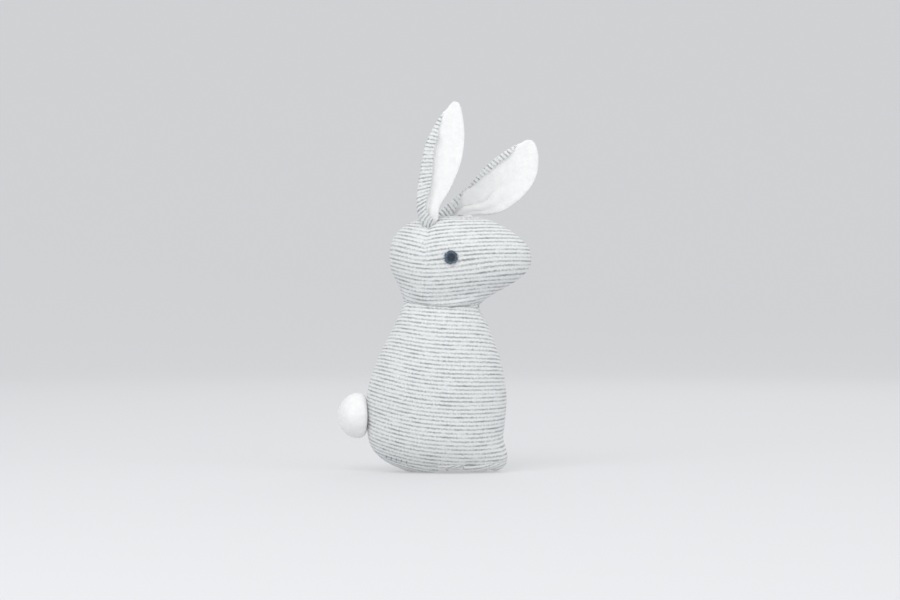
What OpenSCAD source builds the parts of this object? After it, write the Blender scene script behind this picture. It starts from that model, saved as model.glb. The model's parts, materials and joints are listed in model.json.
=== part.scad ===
// Stuffed bunny, sitting up, cut from striped jersey with white velour ears and tail.
// It faces +X, its right side is -Y, and it rests on z = 0.

/* [Torso] */
// Height from the base to the neck seam
torso_h = 105; // [84:1:126]
// Length from back to belly at its fullest
torso_l = 88; // [74:1:105]
// Thickness from side to side at its fullest
torso_t = 50; // [42:1:60]

/* [Head] */
// Height above the neck seam
head_h = 54; // [45:1:65]
// Length from the nape to the nose
head_l = 89; // [74:1:106]
// Thickness from side to side at its fullest
head_t = 44; // [38:1:52]

/* [Ears] */
// Length of an ear from its base to its tip
ear_l = 77; // [64:1:92]
// Width of an ear laid flat
ear_w = 29; // [24:1:35]
// Lean of the right ear above the horizontal, in degrees
right_lean = 77; // [70:1:85]
// Lean of the left ear above the horizontal, in degrees
left_lean = 48; // [42:1:56]

/* [Eyes and tail] */
// Diameter of an embroidered eye
eye_d = 8.4; // [7:0.1:10]
// Diameter of the tail puff
tail_d = 28; // [23:1:33]
// Thickness of the tail puff
tail_t = 18.5; // [15:0.5:22]

/* [Cloth and thread] */
// Thickness of the striped jersey
cloth_t = 1.2; // [1:0.1:1.5]
// Thickness of the white velour
velour_t = 1.6; // [1.3:0.1:1.9]
// Thickness of the sewing thread
thread_d = 0.4; // [0.3:0.1:0.5]
// Gap between pieces that move past each other
gap = 0.3; // [0.25:0.05:0.5]

/* [Hidden] */

jersey = "gainsboro";
velour = "white";
slate = "slategray";
fibre = "whitesmoke";
cotton = "darkgray";

steps_half = 20;                     // facets around half of a section
steps_ring = 2 * steps_half;
turn_step = 180 / steps_half;
seam_space = thread_d + 0.5;         // between cloth and stuffing, with the thread in its middle
stuffing_in = cloth_t + seam_space;
thread_in = cloth_t + seam_space / 2;
neck_x = 0.025 * torso_l;
neck_z = torso_h;
nod_range = 15;                      // degrees of nod each way
top_z = torso_h + head_h;

// ---- Curves through rows of [position, values...] ----
function row_at(rows, p, i = 0) = (i >= len(rows) - 2 || p < rows[i + 1][0]) ? i : row_at(rows, p, i + 1);
function tangent(rows, i, k) = let(a = rows[max(i - 1, 0)], b = rows[min(i + 1, len(rows) - 1)])
    (b[k] - a[k]) / (b[0] - a[0]);
function through(rows, p, k) = let(
    i = row_at(rows, p),
    a = rows[i],
    b = rows[i + 1],
    w = b[0] - a[0],
    t = min(1, max(0, (p - a[0]) / w)))
    (2 * t^3 - 3 * t^2 + 1) * a[k] + (t^3 - 2 * t^2 + t) * w * tangent(rows, i, k)
    + (3 * t^2 - 2 * t^3) * b[k] + (t^3 - t^2) * w * tangent(rows, i + 1, k);

// Torso outline: share of torso_h, then back, belly and half thickness as shares of the length and thickness.
TORSO = [[0, -0.20, 0.42, 0.24], [0.03, -0.30, 0.465, 0.33], [0.08, -0.41, 0.485, 0.41],
         [0.14, -0.473, 0.48, 0.46], [0.21, -0.50, 0.47, 0.49], [0.36, -0.508, 0.484, 0.50],
         [0.48, -0.50, 0.483, 0.50], [0.6, -0.464, 0.465, 0.485], [0.72, -0.40, 0.423, 0.45],
         [0.86, -0.318, 0.359, 0.385], [0.94, -0.27, 0.312, 0.345], [1, -0.24, 0.288, 0.32]];
// Head outline above the neck seam, in the same way.
HEAD = [[0, -0.235, 0.30, 0.36], [0.07, -0.25, 0.37, 0.40], [0.18, -0.272, 0.485, 0.445],
        [0.28, -0.305, 0.58, 0.475], [0.38, -0.332, 0.64, 0.495], [0.5, -0.342, 0.66, 0.50],
        [0.62, -0.335, 0.645, 0.485], [0.72, -0.32, 0.595, 0.44], [0.81, -0.285, 0.525, 0.38],
        [0.9, -0.225, 0.43, 0.29], [0.96, -0.15, 0.345, 0.20], [1, -0.02, 0.25, 0]];

// One point of a section: turn runs from the nose side (0) over the left side (90) to the back (180).
function section(rows, share, length, thick, turn, inset, taper) = let(
    back = through(rows, share, 1) * length + inset,
    front = through(rows, share, 2) * length - inset,
    half = max(0.05, through(rows, share, 3) * thick - inset),
    u = cos(turn))
    [(front + back) / 2 + u * (front - back) / 2, sin(turn) * half * (1 - taper * u)];
function torso_point(z, turn, inset) = let(p = section(TORSO, z / torso_h, torso_l, torso_t, turn, inset, 0.04))
    [p[0], p[1], z];
// An inset head is also lower, so that the layers stay apart over the crown.
function head_point(z, turn, inset) = let(
    p = section(HEAD, (z - neck_z) / (head_h - inset), head_l, head_t, turn, inset, 0.2))
    [p[0], p[1], z];

// The base seam dips from the back to the underside and rises a little towards the belly.
SEAM = [[-0.53, 17], [-0.41, 10.5], [-0.22, 5.5], [0, 4.4], [0.1, 5.4], [0.24, 4.4], [0.49, 7]];
function seam_z(turn) = through(SEAM, torso_point(9, turn, 0)[0] / torso_l, 1) * torso_h / 105;

// The lower edge of the head leaves room for the nod in front of and behind the neck.
function hem_z(x) = neck_z + gap + 0.5 + abs(x - neck_x) * tan(nod_range + 1.5);

// ---- Meshes from grids of points ----
function at(cols, i, j) = i * cols + j;
function grid_faces(rows, cols, start, flip) = [
    for (i = [0:rows - 2], j = [0:cols - 2]) let(
        a = start + at(cols, i, j), b = start + at(cols, i, j + 1),
        c = start + at(cols, i + 1, j + 1), d = start + at(cols, i + 1, j))
    each flip ? [[a, c, b], [a, d, c]] : [[a, b, c], [a, c, d]]];
function rim_faces(outer, inner) = [
    for (i = [0:len(outer) - 2]) each [[outer[i], inner[i], outer[i + 1]], [inner[i], inner[i + 1], outer[i + 1]]]];

// A sheet with a thickness, between two grids of the same rows and columns.
module sheet_between(outer, inner, flip = false) {
    rows = len(outer);
    cols = len(outer[0]);
    n = rows * cols;
    bottom = [for (j = [0:cols - 1]) at(cols, 0, j)];
    top = [for (j = [cols - 1:-1:0]) at(cols, rows - 1, j)];
    left = [for (i = [rows - 1:-1:0]) at(cols, i, 0)];
    right = [for (i = [0:rows - 1]) at(cols, i, cols - 1)];
    rims = [for (edge = [bottom, right, top, left]) each rim_faces(edge, [for (k = edge) k + n])];
    faces = concat(grid_faces(rows, cols, 0, false), grid_faces(rows, cols, n, true), rims);
    polyhedron(
        points = concat([for (r = outer) each r], [for (r = inner) each r]),
        faces = flip ? faces : [for (f = faces) [f[2], f[1], f[0]]]);
}

// A solid through closed rings of points, lowest ring first, each ring running from +X to +Y.
module solid_of_rings(rings) {
    cols = len(rings[0]);
    last = len(rings) - 1;
    function wrap(i, j) = i * cols + (j % cols);
    sides = [for (i = [0:last - 1], j = [0:cols - 1])
        each [[wrap(i, j), wrap(i + 1, j + 1), wrap(i, j + 1)], [wrap(i, j), wrap(i + 1, j), wrap(i + 1, j + 1)]]];
    half = cols / 2;
    // A ladder of faces from one side of a ring to the other
    function across(i, up) = [for (j = [0:half - 1]) let(
        a = wrap(i, j), b = wrap(i, j + 1), c = wrap(i, cols - j - 1), d = wrap(i, cols - j))
        each up ? [[a, d, b], [b, d, c]] : [[a, b, d], [b, c, d]]];
    function clean(list) = [for (f = list) if (f[0] != f[1] && f[1] != f[2] && f[0] != f[2]) f];
    polyhedron(
        points = [for (r = rings) each r],
        faces = concat(sides, clean(across(0, false)), clean(across(last, true))));
}

// A round thread swept along points, closed into a loop where asked.
function unit(v) = v / max(norm(v), 0.0001);
module thread_along(path, up = [0, 1, 0], loop = false, d = thread_d) {
    n = len(path);
    sides = 6;
    rings = [for (i = [0:n - 1]) let(
        before = loop ? path[(i + n - 1) % n] : path[max(i - 1, 0)],
        after = loop ? path[(i + 1) % n] : path[min(i + 1, n - 1)],
        dir = unit(after - before),
        side = unit(cross(dir, up)),
        rise = cross(side, dir))
        [for (k = [0:sides - 1]) path[i] + d / 2 * (cos(k * 60) * side + sin(k * 60) * rise)]];
    turns = loop ? n : n - 1;
    walls = [for (i = [0:turns - 1], k = [0:sides - 1]) let(
        a = i * sides + k, b = i * sides + (k + 1) % sides,
        c = ((i + 1) % n) * sides + (k + 1) % sides, e = ((i + 1) % n) * sides + k)
        each [[a, b, c], [a, c, e]]];
    ends = loop ? [] : [[for (k = [sides - 1:-1:0]) k], [for (k = [0:sides - 1]) (n - 1) * sides + k]];
    polyhedron(points = [for (r = rings) each r], faces = concat(walls, ends));
}

// ---- Torso ----
rows_torso = 16;
torso_top = neck_z - gap;
seam_room = 0.05;                    // between the panels' lower edge and the gusset
function panel_ring(i, inset) = [for (j = [0:steps_ring - 1]) let(
    turn = turn_step * j, low = seam_z(turn) + seam_room)
    torso_point(low + (torso_top - low) * i / rows_torso, turn, inset)];
function half_of(ring, side) = [for (j = [0:steps_half]) ring[(side * j + steps_ring) % steps_ring]];
function panel_grid(side, inset) = [for (i = [0:rows_torso]) half_of(panel_ring(i, inset), side)];

module torso_panel(side) {
    color(jersey) sheet_between(panel_grid(side, 0), panel_grid(side, cloth_t), side < 0);
}
module torso_panel_right() { torso_panel(-1); }
module torso_panel_left() { torso_panel(1); }

// The tuck lifts the underside between the haunch and the forefoot.
tuck_h = 0.033 * torso_h;
tuck_x = 0.11 * torso_l;
function tuck(turn) = tuck_h * exp(-pow((torso_point(0, turn, 0)[0] - tuck_x) / 3.2, 2));
gusset_rows = 5;
function gusset_ring(share, inset, floor_z) = [for (j = [0:steps_ring - 1]) let(
    turn = turn_step * j,
    low = floor_z + tuck(turn),
    p = torso_point(low + (seam_z(turn) - seam_room - low) * share, turn, inset))
    p];
// The floor's edge lies a little inside the first ring, so that the underside turns up softly.
function gusset_floor(floor_z) = [for (j = [0:steps_ring - 1]) let(
    turn = turn_step * j, p = torso_point(0, turn, 1.2))
    [p[0], p[1], floor_z + tuck(turn)]];
module base_gusset() {
    outer_rings = [for (i = [0:gusset_rows]) gusset_ring(i / gusset_rows, 0, 0.1)];
    inner_rings = [for (i = [0:gusset_rows]) gusset_ring(i / gusset_rows, cloth_t, cloth_t)];
    // Up the outside, over the seam edge and down the inside, as one open pan
    color(jersey) solid_of_rings(concat([gusset_floor(0)], outer_rings,
        [for (i = [gusset_rows:-1:0]) inner_rings[i]]));
}

// The stuffing narrows towards the neck, which leaves the cloth room to twist.
neck_slack = 0.1 * torso_t;
function slack_at(share) = neck_slack * pow(share, 4);
module torso_stuffing() {
    floor_z = cloth_t + 1;
    color(fibre) solid_of_rings(concat(
        [for (i = [0:gusset_rows - 1]) gusset_ring(i / gusset_rows, stuffing_in, floor_z)],
        [for (i = [0:rows_torso - 1]) panel_ring(i, stuffing_in + slack_at(i / rows_torso))],
        [[for (j = [0:steps_ring - 1]) torso_point(torso_top - 1, turn_step * j, stuffing_in + neck_slack)]]));
}

module torso_seam_thread() {
    color(cotton) for (j = [0, steps_half])
        thread_along([for (i = [1:rows_torso - 1]) panel_ring(i, thread_in)[j]]);
}

module base_seam_thread() {
    low = panel_ring(0, thread_in);
    next = panel_ring(1, thread_in);
    share_up = 0.13;
    color(cotton) thread_along(low + share_up * (next - low), up = [0, 0, 1], loop = true);
}

// Hand stitches that close the stuffing hole, laid across the haunch's lower edge on the right side.
stitch_count = 5;
first_stitch = -150;                 // turn of the stitch nearest the tail
stitch_step = 4.5;
stitch_slant = 1.5;                  // turn from a stitch's foot to its head
stitch_proud = 0.35;
hand_thread_d = 0.5;                 // doubled thread, for sewing by hand
module closing_stitches() {
    color(cotton) for (i = [0:stitch_count - 1]) let(
        turn = first_stitch + stitch_step * i,
        low = torso_point(seam_z(turn) - 0.9, turn, -stitch_proud),
        high = torso_point(seam_z(turn + stitch_slant) + 1.3, turn + stitch_slant, -stitch_proud))
        thread_along([low, high], up = [1, 0, 0.2], d = hand_thread_d);
}

// ---- Neck ----
module neck_stuffing() {
    front = torso_point(neck_z, 0, stuffing_in + neck_slack)[0];
    back = torso_point(neck_z, 180, stuffing_in + neck_slack)[0];
    color(fibre) translate([(front + back) / 2, 0, torso_top - 0.7])
        linear_extrude(1.6) scale([1, 0.62]) circle(d = front - back, $fn = 48);
}

module neck_seam_thread() {
    color(cotton) thread_along([for (j = [0:steps_ring - 1]) let(p = torso_point(neck_z, turn_step * j, 0.1))
        [p[0], p[1], neck_z + gap / 2]], up = [0, 0, 1], loop = true, d = hand_thread_d);
}

// ---- Head ----
rows_head = 16;
function head_ring(i, inset, lift = 0) = [for (j = [0:steps_ring - 1]) let(
    turn = turn_step * j,
    low = hem_z(head_point(neck_z + 3, turn, 0)[0]) + lift)
    head_point(low + (top_z - inset - low) * sin(90 * i / rows_head), turn, inset)];
function head_grid(side, inset) = [for (i = [0:rows_head]) half_of(head_ring(i, inset), side)];

module head_panel(side) {
    color(jersey) sheet_between(head_grid(side, 0), head_grid(side, cloth_t), side < 0);
}
module head_panel_right() { head_panel(-1); }
module head_panel_left() { head_panel(1); }

module head_stuffing() {
    color(fibre) solid_of_rings([for (i = [0:rows_head])
        head_ring(i, stuffing_in + slack_at(1 - i / rows_head), neck_slack)]);
}

module head_seam_thread() {
    color(cotton) for (j = [0, steps_half])
        thread_along([for (i = [1:rows_head - 2]) head_ring(i, thread_in)[j]]);
}

// A dart takes in the cloth below each ear; its thread runs on the inside.
dart_rows = [6:10];
dart_column = 13;
module dart_thread(side) {
    color(cotton) thread_along([for (i = dart_rows) head_grid(side, thread_in)[i][dart_column]], up = [1, 0, 0]);
}
module dart_thread_right() { dart_thread(-1); }
module dart_thread_left() { dart_thread(1); }

// ---- Eyes: a low satin-stitch disc on the surface of the cheek ----
eye_share = 0.515;                   // height on the head, as a share of head_h
eye_turn = 97;
eye_rise = 1;
eye_lift = 0.45;                     // clears the curve of the cheek under the disc
module eye(side) {
    z = neck_z + eye_share * head_h;
    p = head_point(z, side * eye_turn, 0);
    along = head_point(z, side * (eye_turn + 3), 0) - head_point(z, side * (eye_turn - 3), 0);
    upward = head_point(z + 2, side * eye_turn, 0) - head_point(z - 2, side * eye_turn, 0);
    normal = unit(cross(upward, along));
    out = normal * sign(normal[1] * side);
    pitch = acos(out[2]);
    yaw = atan2(out[1], out[0]);
    color(slate) translate(p + eye_lift * out) rotate([0, pitch, yaw])
        rotate_extrude($fn = 48)
            polygon([[0, 0], [eye_d / 2, 0], [0.46 * eye_d, 0.5 * eye_rise], [0.3 * eye_d, eye_rise], [0, eye_rise]]);
}
module eye_right() { eye(-1); }
module eye_left() { eye(1); }

// ---- Ears: two layers of cloth in the same cupped leaf ----
// Share of the length, then half width as a share of ear_w.
LEAF = [[0, 0.20], [0.08, 0.25], [0.2, 0.34], [0.35, 0.43], [0.5, 0.49], [0.65, 0.5], [0.8, 0.45],
        [0.9, 0.35], [0.96, 0.23], [1, 0.06]];
ear_rows = 18;
ear_cols = 10;
thread_room = seam_space;
// Cloth at a distance off the cup's middle layer, across the leaf from -1 to 1.
function ear_point(share, across, off, cup) = let(
    half = through(LEAF, share, 1) * ear_w,
    radius = ear_w * 180 / (PI * cup),
    turn = across * half / radius * 180 / PI,
    bow = 0.02 * ear_l * sin(180 * share))
    [(radius + off) * sin(turn), radius - (radius + off) * cos(turn) + bow, share * ear_l];
function ear_grid(off, cup) = [for (i = [0:ear_rows]) [for (j = [0:ear_cols])
    ear_point(i / ear_rows, 2 * j / ear_cols - 1, off, cup)]];
module ear_layer(from, to, cup) {
    sheet_between(ear_grid(from, cup), ear_grid(to, cup));
}
module ear_seam(cup) {
    thread_along(concat(
        [for (i = [0:16]) ear_point(0.02 + 0.94 * i / 16, 0.9, 0, cup)],
        [for (across = [0.5, 0, -0.5]) ear_point(0.975, across, 0, cup)],
        [for (i = [16:-1:0]) ear_point(0.02 + 0.94 * i / 16, -0.9, 0, cup)]), up = [0, 1, 0]);
}

// Where each ear stands: its base on the head, its lean and its turn about its own length.
right_base = [-0.063 * head_l, -0.34 * head_t, neck_z + 0.93 * head_h];
left_base = [0.1 * head_l, 0.457 * head_t, neck_z + 0.825 * head_h];
right_cup = 75;
left_cup = 35;
module at_ear(base, lean, roll) {
    translate(base) rotate([0, 90 - lean, 0]) rotate([0, 0, roll]) children();
}
module in_right_ear() { at_ear(right_base, right_lean, 10) children(); }
module in_left_ear() { at_ear(left_base, left_lean, 6) children(); }

// The velour side faces the right (-Y) on both ears.
module ear_right_outer() {
    color(jersey) in_right_ear() mirror([0, 1, 0]) ear_layer(thread_room / 2 + cloth_t, thread_room / 2, right_cup);
}
module ear_right_inner() {
    color(velour) in_right_ear() mirror([0, 1, 0]) ear_layer(-thread_room / 2, -thread_room / 2 - velour_t, right_cup);
}
module ear_right_seam_thread() { color(cotton) in_right_ear() mirror([0, 1, 0]) ear_seam(right_cup); }
module ear_left_outer() {
    color(jersey) in_left_ear() mirror([0, 1, 0]) ear_layer(thread_room / 2 + cloth_t, thread_room / 2, left_cup);
}
module ear_left_inner() {
    color(velour) in_left_ear() mirror([0, 1, 0]) ear_layer(-thread_room / 2, -thread_room / 2 - velour_t, left_cup);
}
module ear_left_seam_thread() { color(cotton) in_left_ear() mirror([0, 1, 0]) ear_seam(left_cup); }

// ---- Tail: a gathered puff on the back ----
tail_z = torso_h / 3;
tail_x = torso_point(tail_z, 180, 0)[0] - gap;
tail_contact = 0.4 * tail_d;         // radius of the flat where it meets the back
tail_fill_gap = 0.4;                 // between the gathering thread and the stuffing
thread_off = 0.05;                   // between the gathering thread and the velour
module tail_profile(inset) {
    intersection() {
        translate([0, inset]) square([tail_d, tail_t]);
        union() {
            translate([0, 0.42 * tail_t]) scale([tail_d / 2 - inset, 0.58 * tail_t - inset]) circle(r = 1, $fn = 48);
            polygon([[0, inset], [tail_contact - inset, inset], [0.455 * tail_d - inset, 0.12 * tail_t],
                     [tail_d / 2 - inset, 0.42 * tail_t], [0, 0.42 * tail_t]]);
        }
    }
}
module in_tail() { translate([tail_x, 0, tail_z]) rotate([0, -90, 0]) children(); }
module tail_cover() {
    color(velour) in_tail() rotate_extrude($fn = 64) difference() {
        tail_profile(0);
        tail_profile(velour_t);
    }
}
module tail_stuffing() {
    color(fibre) in_tail() rotate_extrude($fn = 48) tail_profile(velour_t + thread_d + tail_fill_gap);
}
module tail_gather_thread() {
    color(cotton) in_tail() translate([0, 0, velour_t + thread_d / 2 + thread_off])
        rotate_extrude($fn = 48) translate([0.6 * tail_contact, 0]) circle(d = thread_d, $fn = 16);
}

torso_panel_right();
torso_panel_left();
base_gusset();
torso_stuffing();
torso_seam_thread();
base_seam_thread();
closing_stitches();
neck_stuffing();
neck_seam_thread();
head_panel_right();
head_panel_left();
head_stuffing();
head_seam_thread();
dart_thread_right();
dart_thread_left();
eye_right();
eye_left();
ear_right_outer();
ear_right_inner();
ear_right_seam_thread();
ear_left_outer();
ear_left_inner();
ear_left_seam_thread();
tail_cover();
tail_stuffing();
tail_gather_thread();
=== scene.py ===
"""Looks for a stuffed bunny sewn from striped cotton jersey, with velour-lined ears, a puff tail and
embroidered eyes."""

import bisect
import functools
import json
import math

import bmesh
import bpy
import numpy as np
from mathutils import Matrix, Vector, noise
from mathutils.bvhtree import BVHTree


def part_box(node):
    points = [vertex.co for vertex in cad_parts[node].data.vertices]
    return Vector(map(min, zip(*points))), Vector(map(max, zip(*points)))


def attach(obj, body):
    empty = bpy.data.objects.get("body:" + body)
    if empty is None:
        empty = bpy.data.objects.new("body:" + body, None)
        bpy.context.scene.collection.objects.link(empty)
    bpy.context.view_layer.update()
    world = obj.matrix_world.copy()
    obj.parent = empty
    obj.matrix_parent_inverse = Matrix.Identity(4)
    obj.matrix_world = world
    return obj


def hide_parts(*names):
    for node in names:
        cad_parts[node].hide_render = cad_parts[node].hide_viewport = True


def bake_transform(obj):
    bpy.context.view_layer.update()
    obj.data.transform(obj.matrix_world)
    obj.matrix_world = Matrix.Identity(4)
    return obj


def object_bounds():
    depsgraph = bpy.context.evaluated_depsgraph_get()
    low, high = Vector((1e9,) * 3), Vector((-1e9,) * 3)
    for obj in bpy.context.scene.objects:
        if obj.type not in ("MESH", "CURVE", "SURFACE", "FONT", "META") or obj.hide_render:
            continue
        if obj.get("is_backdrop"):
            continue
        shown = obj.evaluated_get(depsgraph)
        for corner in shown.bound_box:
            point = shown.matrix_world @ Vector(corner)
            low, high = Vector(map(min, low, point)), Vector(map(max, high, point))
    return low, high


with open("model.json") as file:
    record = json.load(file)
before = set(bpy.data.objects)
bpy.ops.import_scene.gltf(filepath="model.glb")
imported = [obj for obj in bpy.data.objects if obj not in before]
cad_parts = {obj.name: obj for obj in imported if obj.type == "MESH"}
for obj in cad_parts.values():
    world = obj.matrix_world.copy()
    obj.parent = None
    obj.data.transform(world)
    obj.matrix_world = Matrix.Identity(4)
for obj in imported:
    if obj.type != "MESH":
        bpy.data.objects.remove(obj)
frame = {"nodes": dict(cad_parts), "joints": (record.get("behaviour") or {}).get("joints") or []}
cad_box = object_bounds()

MM = 0.001
STRIPE_MM = 2.48          # one grey and one off-white stripe of the jersey
WALE_MM = 0.85            # one column of knit loops
COURSE_MM = 0.62          # one row of knit loops
JERSEY_MM = 1.0           # the jersey's thickness
PILE_MM = 1.5             # the velour's thickness, pile included


# ---- Reading the fixed frame ----

def joint(name):
    """One joint of the frame, by name."""
    return next(j for j in frame["joints"] if j["name"] == name)


def outer_surface(*nodes):
    """A search tree over the faces of some CAD nodes."""
    points, faces = [], []
    for name in nodes:
        mesh = frame["nodes"][name].data
        start = len(points)
        points += [v.co.copy() for v in mesh.vertices]
        faces += [[start + i for i in p.vertices] for p in mesh.polygons]
    return BVHTree.FromPolygons(points, faces)


def smoothstep(low, high, x):
    """A smooth ramp from 0 at low to 1 at high, where low may be the larger."""
    t = min(1.0, max(0.0, (x - low) / (high - low)))
    return t * t * (3 - 2 * t)


def bump(x, centre, width):
    """A bell of height 1."""
    return math.exp(-((x - centre) / width) ** 2)


def hermite(t):
    """The weights of a smooth curve's start, its slope there, its end, and its slope there."""
    return (2 * t ** 3 - 3 * t ** 2 + 1, t ** 3 - 2 * t ** 2 + t,
            3 * t ** 2 - 2 * t ** 3, t ** 3 - t ** 2)


def curve_through(pairs, x):
    """A smooth value at x through a few chosen pairs."""
    xs = [p[0] for p in pairs]
    if x <= xs[0]:
        return pairs[0][1]
    if x >= xs[-1]:
        return pairs[-1][1]

    def slope(i):
        lo, hi = max(i - 1, 0), min(i + 1, len(xs) - 1)
        return (pairs[hi][1] - pairs[lo][1]) / (xs[hi] - xs[lo])

    k = max(i for i in range(len(xs) - 1) if xs[i] <= x)
    width = xs[k + 1] - xs[k]
    a, b, c, d = hermite((x - xs[k]) / width)
    return a * pairs[k][1] + b * width * slope(k) + c * pairs[k + 1][1] + d * width * slope(k + 1)


torso_lo, torso_hi = (Vector(c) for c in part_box("torso_panel_right"))
head_lo, head_hi = (Vector(c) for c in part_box("head_panel_right"))
NECK = Vector(joint("head_nod")["pos_m"])
torso_skin = outer_surface("torso_panel_right", "torso_panel_left", "base_gusset")
head_skin = outer_surface("head_panel_right", "head_panel_left")
torso_length = torso_hi.x - torso_lo.x
torso_mid_x = (torso_hi.x + torso_lo.x) / 2
head_centre = Vector(((head_lo.x + head_hi.x) / 2, 0, head_lo.z + 0.48 * (head_hi.z - head_lo.z)))


# ---- Meshes ----

def tube(columns, rows):
    """A unit tube as a bmesh, and its vertices as a grid of rows, bottom row first, with column 0 on +X."""
    bm = bmesh.new()
    row, column = bm.verts.layers.int.new("row"), bm.verts.layers.int.new("column")
    bmesh.ops.create_cone(bm, cap_ends=False, segments=columns, radius1=1, radius2=1, depth=1)
    upright = [e for e in bm.edges if abs(e.verts[0].co.z - e.verts[1].co.z) > 0.5]
    bmesh.ops.subdivide_edges(bm, edges=upright, cuts=rows - 1)
    grid = [[None] * columns for _ in range(rows + 1)]
    for v in bm.verts:
        turn = math.atan2(v.co.y, v.co.x) / (2 * math.pi)
        v[row], v[column] = round((v.co.z + 0.5) * rows), round(turn * columns) % columns
        grid[v[row]][v[column]] = v
    return bm, grid


def face_outwards(bm, centre):
    """Points the faces of a skin away from its middle."""
    bmesh.ops.recalc_face_normals(bm, faces=bm.faces)
    bm.normal_update()
    if sum((f.calc_center_median() - centre).dot(f.normal) * f.calc_area() for f in bm.faces) < 0:
        bmesh.ops.reverse_faces(bm, faces=bm.faces)
        bm.normal_update()


def sheet_grid(across, along):
    """A flat grid as a bmesh, and its vertices as rows from the base to the tip."""
    bm = bmesh.new()
    bmesh.ops.create_grid(bm, x_segments=across, y_segments=along, size=0.5)
    grid = [[None] * (across + 1) for _ in range(along + 1)]
    for v in bm.verts:
        grid[round((v.co.y + 0.5) * along)][round((v.co.x + 0.5) * across)] = v
    return bm, grid


def smooth_object(mesh, name, material):
    """A mesh in one material as a smooth-shaded object at the origin."""
    mesh.materials.clear()
    mesh.materials.append(material)
    mesh.polygons.foreach_set("use_smooth", [True] * len(mesh.polygons))
    obj = bpy.data.objects.new(name, mesh)
    bpy.context.scene.collection.objects.link(obj)
    return obj


def finish_mesh(bm, name, material):
    """A bmesh as an object."""
    mesh = bpy.data.meshes.new(name)
    bm.to_mesh(mesh)
    bm.free()
    return smooth_object(mesh, name, material)


def soften(bm, kept, passes=8):
    """Rounds off small facets, and leaves the kept vertices where they are."""
    kept = set(kept)
    movable = [v for v in bm.verts if v not in kept]
    for _ in range(passes):
        bmesh.ops.smooth_vert(bm, verts=movable, factor=0.5, use_axis_x=True, use_axis_y=True,
                              use_axis_z=True)


def roughen(bm, centre, offset):
    """Breaks the evenness of a skin by a tenth of a millimetre, so that the cloth buckles unevenly."""
    for v in bm.verts:
        v.co += (v.co - centre).normalized() * 0.12 * MM * noise.noise(v.co * 400 + offset)


def refine(obj, thickness=None):
    """Subdivides an object once, gives a single skin its thickness inwards, and builds both into its mesh."""
    fine = obj.modifiers.new("Fine", "SUBSURF")
    fine.levels = fine.render_levels = 1
    fine.uv_smooth = "NONE"
    if thickness:
        wall = obj.modifiers.new("Wall", "SOLIDIFY")
        wall.thickness, wall.offset = thickness, -1.0
    depsgraph = bpy.context.evaluated_depsgraph_get()
    mesh = bpy.data.meshes.new_from_object(obj.evaluated_get(depsgraph), depsgraph=depsgraph)
    old = obj.data
    obj.modifiers.clear()
    obj.data = mesh
    bpy.data.meshes.remove(old)
    mesh.name = obj.name


# ---- Materials ----

def linear(hex_colour):
    """An sRGB hex colour as the linear values that the shaders take."""
    channels = [int(hex_colour[i:i + 2], 16) / 255 for i in (1, 3, 5)]
    return [c / 12.92 if c <= 0.04045 else ((c + 0.055) / 1.055) ** 2.4 for c in channels] + [1.0]


def main_output(node):
    """A node's first output that its settings leave in use."""
    return next(o for o in node.outputs if o.enabled)


def add_node(tree, kind, inputs=(), ramp=(), to=None, **settings):
    """Adds a shader node with its settings, the stops of its colour ramp, and its links. Inputs go by name or
    in order, and each is a value, a node or one of a node's outputs. to is the shader's socket it feeds."""
    made = tree.nodes.new("ShaderNode" + kind)
    for key, value in settings.items():
        setattr(made, key, value)
    for key, value in inputs.items() if isinstance(inputs, dict) else enumerate(inputs):
        if isinstance(value, bpy.types.Node):
            value = main_output(value)
        if isinstance(value, bpy.types.NodeSocket):
            tree.links.new(value, made.inputs[key])
        else:
            made.inputs[key].default_value = value
    if ramp:
        stops = made.color_ramp.elements
        for stop, (position, colour) in zip((stops[0], stops[1]), (ramp[0], ramp[-1])):
            stop.position, stop.color = position, linear(colour)
        for position, colour in ramp[1:-1]:
            stops.new(position).color = linear(colour)
    if to:
        tree.links.new(main_output(made), to)
    return made


def new_material(name, roughness, sheen=0.0, specular=0.3, sheen_roughness=0.5):
    """A material, the function that adds its nodes, its shader's sockets, and the place on the object."""
    material = bpy.data.materials.new(name)
    material.use_nodes = True
    add = functools.partial(add_node, material.node_tree)
    shader = next(n for n in material.node_tree.nodes if n.type == "BSDF_PRINCIPLED").inputs
    shader["Roughness"].default_value = roughness
    shader["Sheen Weight"].default_value = sheen
    shader["Sheen Roughness"].default_value = sheen_roughness
    shader["Specular IOR Level"].default_value = specular
    return material, add, shader, add("TexCoord").outputs["Object"]


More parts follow.
